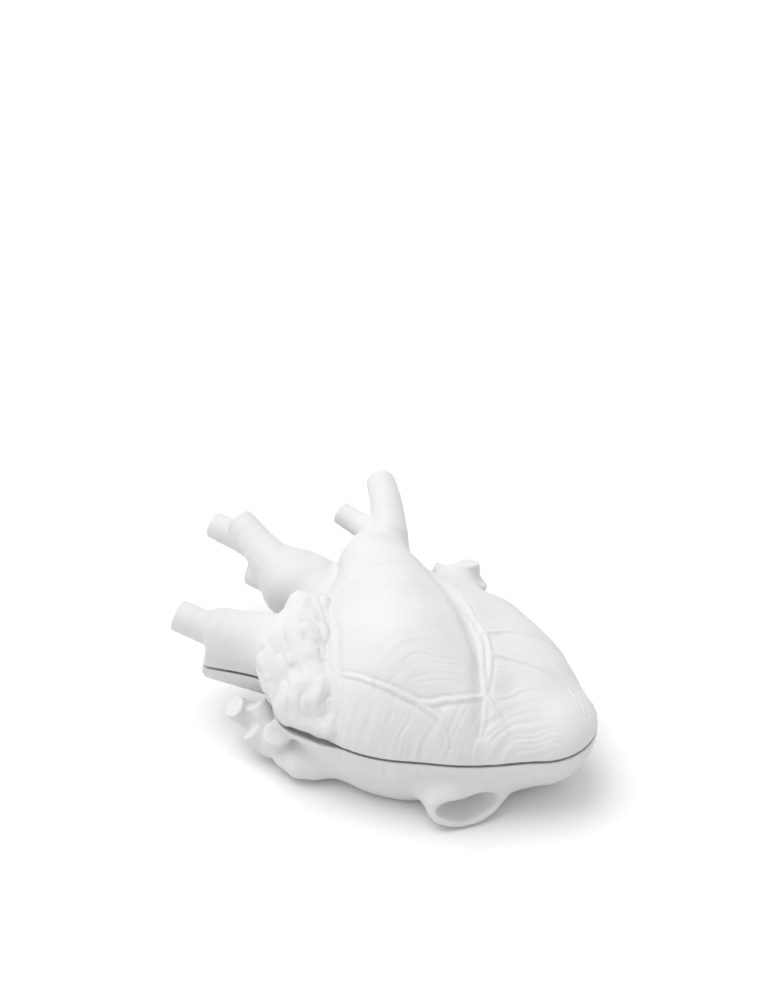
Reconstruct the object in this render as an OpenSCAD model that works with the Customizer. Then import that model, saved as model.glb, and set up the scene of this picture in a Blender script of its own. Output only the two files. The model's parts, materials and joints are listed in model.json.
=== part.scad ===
// Wind-up music box: a porcelain heart in two halves with an eighteen-note movement inside.
// Millimetres. +X runs to the heart's tip, +Z is up, the origin is under the middle of the box.

/* [Porcelain box] */
// Height of the plane where the lid meets the base
parting_z = 38; // [37:0.5:39]
// Thickness of the porcelain wall
wall = 5; // [4:0.5:6]
// Depth of the lid's locating flange inside the base
flange_h = 3; // [2:0.5:4]
// Room between the locating flange and the base's wall
flange_gap = 1; // [0.8:0.1:1.5]
// Thickness of the felt feet
felt_t = 1; // [0.8:0.1:1.5]

/* [Key well] */
// Radius of each round end of the well under the base
well_r = 23; // [22:0.5:24]
// Thickness of the porcelain between the well and the movement
slab_t = 4.5; // [4:0.5:5]
// Height of the floor that carries the movement
slab_z = 19.5; // [19:0.5:20]

/* [Movement] */
// Thickness of the cast bedplate
bed_t = 3; // [2.5:0.1:3]
// Radius of the pinned cylinder
cyl_r = 6.5; // [6:0.1:6.5]
// Length of the pinned cylinder
cyl_len = 18; // [17.8:0.1:18.2]
// Number of comb teeth
notes = 18; // [12:1:18]
// Pins on the cylinder for each tooth
pins_per_note = 4; // [2:1:6]
// Radius of the winding arbor
arbor_r = 1.6; // [1.4:0.1:1.7]

/* [Hidden] */

e = 0.01;
fit = 0.05;                       // radial clearance of a shaft in its bearing
plane_gap = 0.1;                  // half the space between the two rims
porcelain = [0.93, 0.93, 0.92];
cast_zinc = [0.62, 0.62, 0.60];
steel = [0.72, 0.73, 0.75];
brass = [0.80, 0.66, 0.36];

// ---- the heart's form, before it is shifted over the origin ----
heart_shift = [-5.81, -5.75, 0];
// Round lumps of the ventricles: centre x, centre y, radius, how deep the base goes
ventricles = [[30, -6, 66, 0.93], [74, -8, 39.5, 1.03], [66, 6, 45.5, 1.01], [103, 4, 31, 1.10]];
dome = 0.64;                      // height of the ventricles' dome to its radius

// Each vessel is a run of balls: x, y, z, radius
outflow = [[-18, 30, 62, 20], [8, 6, 57, 31], [36, -22, 50, 37.5], [66, -24, 46, 28]];
outflow_root = [[-24, 34, 60, 17], [-30, 40, 62, 13]];
lung_artery = [[-24, 46, 62, 13], [-26, 52.5, 69, 9.8], [-44.5, 74, 72, 8.6], [-56, 84.83, 74, 7.8]];
lung_branch = [[-36, 52, 66, 7.5], [-49, 55, 65, 6.6], [-61.5, 55, 67.5, 6.3]];
atrium = [[-22, -22, 56, 16], [-12, -42, 52, 22], [6, -56, 45, 19], [20, -62, 41, 12]];
aorta = [[-20, 8, 45, 18], [-44, 11, 46.5, 21], [-55, 10, 48, 19.8]];
aorta_front = [[-56, 4, 54, 14], [-78, 8, 62, 10], [-99, 13, 71, 7.8]];
aorta_back = [[-62, 12, 50, 12], [-92, 18, 54, 8.2], [-121, 18, 59, 7.4]];
aorta_low = [[-62, 10, 46, 10], [-86, 4, 46, 6]];
upper_vein = [[-20, -32, 46, 20], [-45, -39.5, 44, 17.5], [-67.2, -49.6, 45, 16.5]];
upper_branch = [[-46, -44, 54, 8.5], [-62, -51, 57.5, 8.6], [-83, -58, 58.7, 8.4]];
left_ear = [[20, 44, 46, 18], [9, 63, 44, 11.5]];
ear_stubs = [[[2, 69.5, 43, 5], [-6.5, 66, 46.5, 4]], [[14, 70, 36, 7], [10.5, 74.8, 53, 6.2]],
    [[17, 70, 38, 6], [20, 73.5, 45, 4.3]]];
lung_vein_root = [[26, -48, 20, 15], [12, -56, 15, 11.5]];
lung_veins = [[[-4, -58, 12, 9], [-31, -63, 19, 7], [-37.5, -70, 27.5, 6.3]],
    [[16, -58, 12, 11], [5, -68, 10, 8.5], [-4.4, -70.8, 13, 7.6], [-6.4, -72.2, 27, 6.9]],
    [[6, -60, 14, 9], [-13.8, -62.8, 17.3, 6.3], [-27.4, -63.1, 29.5, 5.3]],
    [[0, -60, 10, 8], [-16, -67, 10.5, 6.8], [-25, -71.5, 18.5, 5.7]]];
// Lower vein, an open flattened mouth on the front of the base
mouth_root = [72, -31, 14.5];
mouth_end = [94.5, -47, 12.9];
mouth_az = -35.4;
mouth_up = 12.5;
mouth_half = [11.7, 21];          // half height and half width of the lip
mouth_lip = 4.5;
mouth_depth = 13;

// ---- the movement, laid out from the winding arbor's axis at the slab ----
arbor_at = [21.5, -0.5] + [heart_shift[0], heart_shift[1]];
crown_teeth = 28;
pinion_teeth = 12;
pinion_module = 0.9;
pinion_r = pinion_teeth * pinion_module / 2;
crown_r = crown_teeth * pinion_module / 2;
crown_z = bed_t + 2;              // floor of the crown teeth
crown_h = 1.6;
axis_z = crown_z + crown_h + 0.15 + pinion_r - 0.7;   // height of the cylinder's axis
wheel_module = 0.45;
gear_teeth = 32;
leaf_teeth = 8;
worm_teeth = 16;
cyl_x = 14.6;                     // left end of the cylinder
gear_x = 33.4;
train_drop = 4.1;
gear_centres = (gear_teeth + leaf_teeth) * wheel_module / 2 + 0.06;
train_y = sqrt(pow(gear_centres, 2) - pow(train_drop, 2));
train_z = axis_z - train_drop;
worm_lead = PI * wheel_module;
worm_r = 1.5;
worm_tip = worm_r + 0.34;
worm_start = 90;                  // turns the thread so that a wheel's tooth lies between two of its turns
worm_x = 38.4;
worm_y = train_y + worm_teeth * wheel_module / 2 + worm_r + 0.03;
tooth_pitch = 0.95;
comb_x = cyl_x + (cyl_len - (notes - 1) * tooth_pitch) / 2;
pin_tip = cyl_r + 0.65;
comb_tip = pin_tip + 0.1;
fixings = [[-10, -20], [36, -22], [14, 14]];
well_ends = [[1, -5], [27, -5]];
lever_y = 22.5;
lever_z = 16;
lever_reach = 24.5;
key_z = -15.5;

can_r = 10.6;
can_top = 20;
can_low = crown_z + crown_h + 0.4;
leg_angles = [125, 235];
leg_r = 15.6;

// ---- helpers ----
module over_origin() { translate(heart_shift) children(); }
module at_movement() { translate([arbor_at[0], arbor_at[1], slab_z]) children(); }
module along_x(x, y, z) { translate([x, y, z]) rotate([0, 90, 0]) children(); }
module ball(b, sides) { translate([b[0], b[1], b[2]]) sphere(r = b[3], $fn = sides); }

// Flat round end of a vessel at ball b, square to the run from ball a
module cut_end(a, b, sides) {
    run = [b[0] - a[0], b[1] - a[1], b[2] - a[2]];
    translate([b[0], b[1], b[2]]) rotate([0, 90 - asin(run[2] / norm(run)), atan2(run[1], run[0])])
        translate([0, 0, -1]) cylinder(r = b[3], h = 1, $fn = sides);
}

module vessel(balls, open = false, sides = 16) {
    last = len(balls) - 1;
    for (i = [0 : last - 1]) hull() {
        ball(balls[i], sides);
        if (open && i == last - 1) cut_end(balls[i], balls[last], sides);
        else ball(balls[i + 1], sides);
    }
}

// The ventricles' form, drawn in by inset, with its dome or its keel about the parting plane
module ventricle_form(inset, upper, sides = 36) {
    hull() for (v = ventricles) translate([v[0], v[1], parting_z])
        scale([1, 1, upper ? dome : v[3]]) sphere(r = v[2] - inset, $fn = sides);
}

module slab(low, high) { translate([-200, -200, low]) cube([400, 400, high - low]); }

module mouth_disc(half, thick) {
    rotate([0, 90 - mouth_up, mouth_az]) translate([0, 0, -thick]) scale([half[0], half[1], 1])
        cylinder(r = 1, h = thick, $fn = 28);
}

// Vessels that the parting plane cuts, so that both halves carry a share of them
module shared_vessels() {
    vessel(atrium, sides = 20);
    vessel(aorta, sides = 20);
    vessel(aorta_back, open = true);
    vessel(aorta_low, open = true);
    vessel(upper_vein, open = true, sides = 20);
    vessel(left_ear, sides = 20);
    for (stub = ear_stubs) vessel(stub, open = true);
}

// Points of a spur wheel's outline: n teeth of module m
function wheel_points(n, m, tip, root) = let (step = 360 / n)
    [for (i = [0 : n - 1]) for (k = [[root, -0.29], [tip, -0.11], [tip, 0.11], [root, 0.29]])
        [(n * m / 2 + k[0]) * cos(step * (i + k[1])), (n * m / 2 + k[0]) * sin(step * (i + k[1]))]];

module spur_wheel(n, m, width, tip, root, bore) {
    linear_extrude(width) difference() {
        polygon(wheel_points(n, m, tip, -root));
        circle(r = bore, $fn = 40);
    }
}

// A profile of [radius, height] points swept round a helix about Z
module coil(profile, turns, lead, steps = 24, start = 0) {
    n = len(profile);
    rings = round(turns * steps);
    polyhedron(
        points = [for (i = [0 : rings]) for (p = profile) [p[0] * cos(start + i * 360 / steps),
            p[0] * sin(start + i * 360 / steps), p[1] + lead * i / steps]],
        faces = concat([[for (k = [n - 1 : -1 : 0]) k]],
            [for (i = [0 : rings - 1]) for (k = [0 : n - 1]) for (half = [0, 1]) let (next = (k + 1) % n)
                half == 0 ? [i * n + k, (i + 1) * n + next, (i + 1) * n + k]
                    : [i * n + k, i * n + next, (i + 1) * n + next]],
            [[for (k = [0 : n - 1]) rings * n + k]]));
}
function wire(r, thick, sides = 8) = [for (k = [0 : sides - 1])
    [r + thick * cos(k * 360 / sides), thick * sin(k * 360 / sides)]];

// Cheese-head screw, its head's underside at z 0 and its shank down -Z
module screw(head_r, head_h, shank_r, length) {
    difference() {
        cylinder(r = head_r, h = head_h, $fn = 40);
        translate([-head_r, -0.3, head_h * 0.5]) cube([2 * head_r, 0.6, head_h]);
    }
    translate([0, 0, -length]) cylinder(r = shank_r, h = length + e, $fn = 32);
}

module well_form(r, low, high) {
    hull() for (c = well_ends) translate([c[0], c[1], low]) cylinder(r = r, h = high - low, $fn = 48);
}

// ---- porcelain ----
module base_shell() color(porcelain) difference() {
    union() {
        over_origin() intersection() {
            difference() {
                union() {
                    ventricle_form(0, false);
                    shared_vessels();
                    vessel([outflow[2], outflow[3]], sides = 28);
                    vessel(lung_vein_root, sides = 20);
                    for (v = lung_veins) vessel(v, open = true);
                    hull() {
                        ball([mouth_root[0], mouth_root[1], mouth_root[2], 12.5], 24);
                        ball([67, -46, 18, 8], 20);
                        translate(mouth_end) mouth_disc(mouth_half, 2);
                    }
                }
                intersection() {
                    ventricle_form(wall, false);
                    slab(felt_t + wall, parting_z + 20);
                }
                translate(mouth_end) hull() {
                    mouth_disc([mouth_half[0] - mouth_lip, mouth_half[1] - mouth_lip], e);
                    translate([-mouth_depth * cos(mouth_az), -mouth_depth * sin(mouth_az), 0])
                        mouth_disc([3, 11], 1);
                    translate([1, -1, 1]) mouth_disc([mouth_half[0] - mouth_lip, mouth_half[1] - mouth_lip], e);
                }
            }
            slab(felt_t, parting_z - plane_gap);
        }
        at_movement() well_form(well_r + wall, felt_t - slab_z, 0);
    }
    at_movement() {
        well_form(well_r, -slab_z, -slab_t);
        translate([0, 0, -slab_t - 1]) cylinder(r = arbor_r + 3, h = slab_t + 2, $fn = 24);
        for (f = fixings) translate([f[0], f[1], -slab_t - 1]) cylinder(r = 2, h = slab_t + 2, $fn = 16);
    }
}

module lid_shell() color(porcelain) over_origin() {
    difference() {
        intersection() {
            union() {
                ventricle_form(0, true);
                shared_vessels();
                vessel(outflow, sides = 28);
                vessel(outflow_root, sides = 20);
                vessel(lung_artery, open = true);
                vessel(lung_branch, open = true);
                vessel(aorta_front, open = true);
                vessel(upper_branch, open = true);
            }
            slab(parting_z + plane_gap, 200);
        }
        intersection() {
            union() {
                ventricle_form(wall, true, 28);
                vessel([for (b = outflow) [b[0], b[1], b[2], b[3] - wall - 1]], sides = 20);
            }
            slab(parting_z + 3, 200);
        }
        intersection() {
            ventricle_form(wall + flange_gap + 3, true, 28);
            slab(0, parting_z + 3 + e);
        }
    }
    // locating flange that drops into the base
    intersection() {
        difference() {
            ventricle_form(wall + flange_gap, true, 28);
            ventricle_form(wall + flange_gap + 3, true, 28);
        }
        slab(parting_z - flange_h, parting_z + 2);
    }
}

module felt_feet() color([0.35, 0.33, 0.30]) over_origin()
    for (p = [[-12, -6], [36, 32], [36, -43], [80, -5]]) translate([p[0], p[1], 0])
        cylinder(r = 6, h = felt_t, $fn = 40);

// ---- frame of the movement ----
module bedplate() color(cast_zinc) at_movement() difference() {
    union() {
        linear_extrude(bed_t) difference() {
            translate([-14, -29]) square([57, 47.5]);
            for (c = [[-14, -29, 0], [43, -29, 90], [43, 18.5, 180], [-14, 18.5, 270]])
                translate([c[0], c[1]]) rotate(c[2]) difference() {
                    translate([-1, -1]) square(5);
                    translate([4, 4]) circle(r = 4, $fn = 40);
                }
        }
        // block that carries the comb
        translate([comb_x - 1.4, -28.6, bed_t - e])
            cube([(notes - 1) * tooth_pitch + 2.8, 7.9, axis_z - 0.5 - bed_t + e]);
    }
    translate([0, 0, -1]) cylinder(r = arbor_r + fit, h = bed_t + 2, $fn = 40);
    for (f = fixings) translate([f[0], f[1], -1]) cylinder(r = 1.5, h = bed_t + 2, $fn = 32);
    for (a = leg_angles) rotate(a) translate([leg_r, 0, -1]) cylinder(r = 1.1, h = bed_t + 2, $fn = 32);
    for (x = comb_screw_x()) translate([x, -24.6, axis_z - 6.5]) cylinder(r = 1.2, h = 7, $fn = 32);
    for (p = frame_screw_xy()) translate([p[0], p[1], -1]) cylinder(r = 0.9, h = bed_t + 2, $fn = 32);
}
function comb_screw_x() = [comb_x + 3.2, comb_x + (notes - 1) * tooth_pitch - 3.2];
function frame_screw_xy() = [[38.8, -5.6], [38.8, 0.8]];

module fixing_screws() color(steel) at_movement() for (f = fixings)
    translate([f[0], f[1], -slab_t - 0.8]) rotate([180, 0, 0]) screw(2.75, 2, 1.48, slab_t + 0.8 + bed_t - 0.2);

module fixing_washers() color([0.25, 0.22, 0.20]) at_movement() for (f = fixings)
    translate([f[0], f[1], -slab_t - 0.8]) difference() {
        cylinder(r = 3.6, h = 0.8, $fn = 40);
        translate([0, 0, -1]) cylinder(r = 1.6, h = 3, $fn = 32);
    }

// ---- spring, arbor and key ----
module spring_housing() color(brass) at_movement() difference() {
    union() {
        translate([0, 0, can_low]) cylinder(r = can_r, h = can_top - can_low, $fn = 64);
        along_x(can_r - 0.8, 0, axis_z) cylinder(r = 2, h = 1.3, $fn = 32);
        for (a = leg_angles) rotate(a) {
            translate([can_r - 0.5, -2.5, can_low]) cube([7.2, 5, 2.2]);
            translate([13.9, -2.5, bed_t]) cube([3.4, 5, can_low + 2.2 - bed_t]);
        }
    }
    translate([0, 0, can_low - 1]) cylinder(r = can_r - 0.8, h = can_top - can_low, $fn = 64);
    translate([0, 0, can_top - 2]) cylinder(r = arbor_r + fit, h = 3, $fn = 40);
    along_x(can_r - 2, 0, axis_z) cylinder(r = 0.8 + fit, h = 5, $fn = 32);
    for (a = leg_angles) rotate(a) translate([leg_r, 0, 0]) cylinder(r = 1.1, h = 20, $fn = 32);
}

module housing_screws() color(steel) at_movement() for (a = leg_angles) rotate(a)
    translate([leg_r, 0, can_low + 2.2]) screw(1.9, 1.2, 1.08, can_low + 2.2 - 0.4);

// Flat spiral of steel strip, wound from the arbor out to the housing
spring_steps = 240;
function spiral(i, side) = let (r = 2.5 + (can_r - 3.7) * i / spring_steps + side * 0.15)
    [r * cos(i * 12), r * sin(i * 12)];
module mainspring() color([0.45, 0.47, 0.52]) at_movement() translate([0, 0, can_low + 3])
    linear_extrude(can_top - can_low - 5) polygon(concat([for (i = [0 : spring_steps]) spiral(i, 1)],
        [for (i = [spring_steps : -1 : 0]) spiral(i, -1)]));

module winding_arbor() color(steel) at_movement() {
    translate([0, 0, key_z + 0.5]) cylinder(r = arbor_r, h = can_top + 0.6 - key_z - 0.5, $fn = 40);
    translate([0, 0, -1.4]) cylinder(r = arbor_r + 0.9, h = 1.3, $fn = 40);
    translate([0, 0, can_low + 3.5]) cylinder(r = arbor_r + 0.5, h = 8, $fn = 40);
}

// Butterfly key on the arbor's lower end
module winding_key() color(brass) at_movement() difference() {
    union() {
        translate([0, 0, key_z]) cylinder(r = 3.1, h = 9.3, $fn = 40);
        rotate([90, 0, 0]) translate([0, 0, -0.7]) linear_extrude(1.4) {
            for (s = [-1, 1]) translate([s * 8, key_z + 5]) difference() {
                circle(r = 4.8, $fn = 48);
                translate([s * 1, 0]) circle(r = 1.9, $fn = 32);
            }
            translate([-8, key_z + 2.5]) square([16, 4.4]);
        }
    }
    translate([0, 0, key_z - 1]) cylinder(r = arbor_r + 0.01, h = 12, $fn = 40);
}

module drive_wheel() color(brass) at_movement() difference() {
    union() {
        translate([0, 0, bed_t + 0.4]) cylinder(r = crown_r + 0.8, h = crown_z - bed_t - 0.4, $fn = 96);
        translate([0, 0, bed_t + 0.3]) cylinder(r = 3.2, h = 4, $fn = 40);
        for (i = [0 : crown_teeth - 1]) rotate(i * 360 / crown_teeth)
            translate([crown_r - 0.9, 0, crown_z - e]) rotate([90, 0, 90]) linear_extrude(1.7)
                polygon([[-0.78, 0], [-0.3, crown_h], [0.3, crown_h], [0.78, 0]]);
    }
    translate([0, 0, -1]) cylinder(r = arbor_r + fit, h = 20, $fn = 40);
    for (i = [0 : 4]) rotate(i * 72 + 36) translate([7.2, 0, -1]) cylinder(r = 2.2, h = 20, $fn = 32);
}

// One-way spring that grips the arbor only as the tune plays
module clutch_spring() color([0.5, 0.52, 0.56]) at_movement() translate([0, 0, bed_t + 4.65])
    coil(wire(2.2, 0.25), 3, 0.6);

// ---- pinned cylinder ----
module cylinder_drum() color(brass) at_movement() along_x(cyl_x, 0, axis_z) difference() {
    cylinder(r = cyl_r, h = cyl_len, $fn = 96);
    translate([0, 0, -1]) cylinder(r = 1.01, h = cyl_len + 2, $fn = 32);
    for (z = [-e, cyl_len - 1.2 + e]) translate([0, 0, z]) difference() {
        cylinder(r = cyl_r - 0.9, h = 1.2, $fn = 64);
        translate([0, 0, -1]) cylinder(r = 2.2, h = 4, $fn = 32);
    }
}

function pin_angle(note, k) = (note * 67 + k * (61 + 7 * (note % 5)) + 20) % 360;
module cylinder_pins() color(steel) at_movement()
    for (n = [0 : notes - 1]) for (k = [0 : pins_per_note - 1])
        translate([comb_x + n * tooth_pitch, 0, axis_z]) rotate([pin_angle(n, k), 0, 0])
            translate([0, 0, cyl_r - 0.3]) cylinder(r = 0.2, h = pin_tip - cyl_r + 0.3, $fn = 16);

module cylinder_arbor() color(steel) at_movement() {
    along_x(11.4, 0, axis_z) cylinder(r = 1.0, h = 25.4, $fn = 40);
    along_x(10.1, 0, axis_z) cylinder(r = 0.8, h = 1.4, $fn = 32);
}

module cylinder_pinion() color(brass) at_movement() {
    along_x(crown_r - 0.85, 0, axis_z) rotate(180 / pinion_teeth)
        spur_wheel(pinion_teeth, pinion_module, 1.6, 0.7, 0.7, 1.01);
}

module cylinder_gear() color(brass) at_movement() along_x(gear_x, 0, axis_z)
    spur_wheel(gear_teeth, wheel_module, 1.2, 0.38, 0.5, 1.01);

// ---- comb ----
function tooth_len(i) = 13 - 5 * i / (notes - 1);
module comb() color(steel) at_movement() {
    back = -28.4;
    difference() {
        translate([0, 0, axis_z - 0.5]) linear_extrude(1.1) polygon([
            [comb_x - 1.2, back], [comb_x + (notes - 1) * tooth_pitch + 1.2, back],
            [comb_x + (notes - 1) * tooth_pitch + 1.2, -comb_tip - tooth_len(notes - 1)],
            [comb_x - 1.2, -comb_tip - tooth_len(0)]]);
        for (x = comb_screw_x()) translate([x, -24.6, 0]) cylinder(r = 1.3, h = 40, $fn = 32);
    }
    for (i = [0 : notes - 1]) translate([comb_x + i * tooth_pitch - 0.36, -comb_tip - tooth_len(i) - 0.6,
        axis_z - 0.25]) cube([0.72, tooth_len(i) + 0.6, 0.5]);
}

// Lead weights under the low teeth
module comb_leads() color([0.42, 0.43, 0.45]) at_movement() for (i = [0 : 8])
    translate([comb_x + i * tooth_pitch - 0.34, -comb_tip - 5.2, axis_z - 2.45 + i * 0.15])
        cube([0.68, 4.2 - i * 0.25, 2.2 - i * 0.15]);

module comb_screws() color(steel) at_movement() for (x = comb_screw_x())
    translate([x, -24.6, axis_z + 0.6]) screw(2.3, 1.4, 1.18, 6);

// ---- governor ----
module governor_frame() color(cast_zinc) at_movement() difference() {
    union() {
        translate([35.4, -8, bed_t]) cube([7, 17.4 + worm_y - 8.6, 1.4]);
        // inner cheek with the bearings of the cylinder and the worm wheel
        translate([35.4, 0, bed_t]) rotate([90, 0, 90]) linear_extrude(1.6) polygon([[-3.4, 0], [-3.4, axis_z],
            [3, axis_z], [4.6, 8.2], [worm_y + 3, 8.2], [worm_y + 3, 0]]);
        // outer cheek
        translate([40.8, 0, bed_t]) rotate([90, 0, 90]) linear_extrude(1.4) polygon([[train_y - 4, 0],
            [train_y - 4, 9.2], [worm_y + 3, 9.2], [worm_y + 3, 7.4], [lever_y - 1.8, 7.4],
            [lever_y - 1.8, lever_z + 1.8 - bed_t], [lever_y + 1.8, lever_z + 1.8 - bed_t],
            [lever_y + 1.8, 6.4], [worm_y + 3, 2.6], [worm_y + 3, 0]]);
        // shelf with the worm's upper bearing
        translate([35.4, worm_y - 2.2, bed_t + 8.2 - e]) cube([6.8, 5.2, 1]);
    }
    along_x(35, 0, axis_z) cylinder(r = 1 + fit, h = 3, $fn = 40);
    for (x = [35, 40]) along_x(x, train_y, train_z) cylinder(r = 0.6 + fit, h = 3, $fn = 32);
    translate([worm_x, worm_y, bed_t + 0.5]) cylinder(r = 0.5 + fit, h = 20, $fn = 32);
    // room for the worm and for the worm wheel
    translate([worm_x, worm_y, bed_t + 1.1]) cylinder(r = worm_tip + 0.3, h = 7, $fn = 40);
    translate([37.2, train_y - 2.9, bed_t - 1]) cube([2.4, 5.8, 4]);
    for (p = frame_screw_xy()) translate([p[0], p[1], 0]) cylinder(r = 1, h = 5, $fn = 32);
    along_x(40, lever_y, lever_z) cylinder(r = 0.8, h = 4, $fn = 32);
}

module governor_screws() color(steel) at_movement() for (p = frame_screw_xy())
    translate([p[0], p[1], bed_t + 1.4]) screw(1.6, 1, 0.88, 4);

module worm_wheel() color(brass) at_movement() {
    along_x(worm_x - 0.6, train_y, train_z)
        spur_wheel(worm_teeth, wheel_module, 1.2, 0.36, 0.5, 0.61);
    along_x(37.4, train_y, train_z) difference() {
        cylinder(r = 1.6, h = 2.6, $fn = 32);
        translate([0, 0, -1]) cylinder(r = 0.61, h = 5, $fn = 32);
    }
}

module governor_pinion() color(steel) at_movement() {
    along_x(gear_x - 0.2, train_y, train_z) {
        rotate(pinion_turn()) linear_extrude(1.6) polygon(wheel_points(leaf_teeth, wheel_module, 0.36, -0.5));
        cylinder(r = 0.6, h = 8.9, $fn = 32);
    }
}
// A pinion gap faces the gear's tooth on the line of centres
function pinion_turn() = let (line = atan2(train_y, train_drop)) line + 180
    - (line - round(line / (360 / gear_teeth)) * 360 / gear_teeth) * -gear_teeth / leaf_teeth
    + 180 / leaf_teeth;

module fan_shaft() color(steel) at_movement() translate([worm_x, worm_y, bed_t + 0.7]) {
    cylinder(r = 0.5, h = 14.6, $fn = 32);
    translate([0, 0, 1]) cylinder(r = 1.0, h = 6.3, $fn = 32);
}

module worm_thread() color(steel) at_movement() translate([worm_x, worm_y, train_z - 2 * worm_lead])
    coil([[0.95, -0.36], [worm_tip, -0.16], [worm_tip, 0.16], [0.95, 0.36]], 4, worm_lead, 24, worm_start);

// Brake disc and two bent wings
module air_fan() color([0.75, 0.76, 0.78]) at_movement() translate([worm_x, worm_y, 0]) {
    difference() {
        union() {
            translate([0, 0, 12.6]) cylinder(r = 4.9, h = 0.6, $fn = 64);
            translate([0, 0, 12.6]) cylinder(r = 1.1, h = 5.4, $fn = 32);
            for (s = [0, 180]) rotate(s) translate([0.6, -0.2, 13.1]) cube([3.9, 0.4, 4.4]);
        }
        cylinder(r = 0.51, h = 40, $fn = 32);
    }
}

// ---- stop lever, held down by the lid's flange ----
module stop_lever() color(steel) at_movement() {
    difference() {
        union() {
            along_x(42.5, lever_y, lever_z) cylinder(r = 1.7, h = 0.9, $fn = 40);
            // arm out to the lid
            translate([42.5, 0, 0]) rotate([90, 0, 90]) linear_extrude(0.9) polygon([
                [lever_y, lever_z + 1.1], [lever_y + lever_reach, 15.1], [lever_y + lever_reach, 13.9],
                [lever_y, lever_z - 1.3]]);
            // leg down to the brake disc
            translate([42.5, 0, 0]) rotate([90, 0, 90]) linear_extrude(0.9) polygon([
                [lever_y - 1.5, lever_z], [lever_y + 0.5, lever_z - 1], [worm_y + 6.65, 12.2], [worm_y + 5.05, 12.2],
                [worm_y + 5.05, 13.4]]);
        }
        along_x(42, lever_y, lever_z) cylinder(r = 0.8 + fit, h = 3, $fn = 32);
    }
    translate([worm_x - 1, worm_y + 5.05, 12.2]) cube([43.4 - worm_x + 1, 1.6, 1.2]);
}

module lever_screw() color(steel) at_movement() along_x(43.6, lever_y, lever_z) screw(1.6, 0.9, 0.8, 3.2);

module lever_spring() color([0.5, 0.52, 0.56]) at_movement() along_x(41.0, lever_y, lever_z)
    translate([0, 0, -1.9]) coil(wire(1.3, 0.2), 3, 0.5);

base_shell();
lid_shell();
felt_feet();
bedplate();
fixing_screws();
fixing_washers();
spring_housing();
housing_screws();
mainspring();
winding_arbor();
winding_key();
drive_wheel();
clutch_spring();
cylinder_drum();  // cylinder
cylinder_pins();
cylinder_arbor();
cylinder_pinion();
cylinder_gear();
comb();
comb_leads();
comb_screws();
governor_frame();
governor_screws();
worm_wheel();
governor_pinion();
fan_shaft();
worm_thread();
air_fan();
stop_lever();
lever_screw();
lever_spring();
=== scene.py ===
import json
import math
import time
import bpy
import numpy as np
import openvdb
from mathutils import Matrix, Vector


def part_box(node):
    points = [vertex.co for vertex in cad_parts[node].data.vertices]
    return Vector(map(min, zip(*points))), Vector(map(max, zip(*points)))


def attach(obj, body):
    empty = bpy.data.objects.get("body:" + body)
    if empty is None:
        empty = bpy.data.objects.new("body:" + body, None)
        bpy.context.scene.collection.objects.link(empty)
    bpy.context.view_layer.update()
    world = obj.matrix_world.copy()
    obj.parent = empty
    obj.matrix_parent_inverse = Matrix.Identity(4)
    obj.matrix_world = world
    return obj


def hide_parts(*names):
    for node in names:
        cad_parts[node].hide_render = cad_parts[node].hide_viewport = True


startTime = time.time()
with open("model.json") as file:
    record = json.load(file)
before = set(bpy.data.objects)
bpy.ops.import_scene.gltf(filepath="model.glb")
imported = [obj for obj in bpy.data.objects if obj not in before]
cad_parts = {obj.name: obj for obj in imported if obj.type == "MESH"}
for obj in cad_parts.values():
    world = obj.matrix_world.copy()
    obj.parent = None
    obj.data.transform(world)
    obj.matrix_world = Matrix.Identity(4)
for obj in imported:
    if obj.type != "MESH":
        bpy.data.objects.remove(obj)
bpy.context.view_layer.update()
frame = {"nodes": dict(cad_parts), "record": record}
mm = 0.001


def say(words):
    print("%6.1f s  %s" % (time.time() - startTime, words))


# The clay is worked in millimetres, as signed distances that are below zero inside it.
# heartShift carries the heart from its own centre to its place in the frame.
heartShift = np.array((-5.81, -5.75, 0.0))
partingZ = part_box("base_shell")[1][2] / mm + 0.1  # half of the joint's 0.2 mm above the base's rim
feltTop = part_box("felt_feet")[1][2] / mm
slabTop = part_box("bedplate")[0][2] / mm
farAway = 60  # distance given to clay that nothing has been laid in yet


# Joining and cutting: k is the width over which two shapes run into each other.
def softMin(a, b, k):
    h = np.clip(0.5 + 0.5 * (b - a) / k, 0, 1)
    return b + (a - b) * h - k * h * (1 - h)


def softMax(a, b, k):
    return -softMin(-a, -b, k)


def ramp(value, low, high):
    t = np.clip((value - low) / (high - low), 0, 1)
    return t * t * (3 - 2 * t)


def roundCone(x, y, z, a, b):
    # the hull of two balls, each given as x, y, z, radius
    ax, ay, az, ra = a
    bx, by, bz, rb = b
    dx, dy, dz = bx - ax, by - ay, bz - az
    l2 = dx * dx + dy * dy + dz * dz
    rr = ra - rb
    a2 = l2 - rr * rr
    x, y, z = x - ax, y - ay, z - az
    h = x * dx + y * dy + z * dz
    x2 = np.maximum(l2 * (l2 * (x * x + y * y + z * z) - h * h), 0)
    far = h - l2
    k = np.sign(rr) * rr * rr * x2
    side = (np.sqrt(x2 * a2 / l2) + h * rr) / l2 - ra
    nearCap = np.sqrt(x2 + h * h * l2) / l2 - ra
    farCap = np.sqrt(x2 + far * far * l2) / l2 - rb
    out = np.where(np.sign(h) * a2 * h * h * l2 < k, nearCap, side)
    return np.where(np.sign(far) * a2 * far * far * l2 > k, farCap, out)


def runOfBalls(x, y, z, balls, blend=3):
    out = None
    for a, b in zip(balls[:-1], balls[1:]):
        piece = roundCone(x, y, z, a, b)
        out = piece if out is None else softMin(out, piece, blend)
    return out


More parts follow.
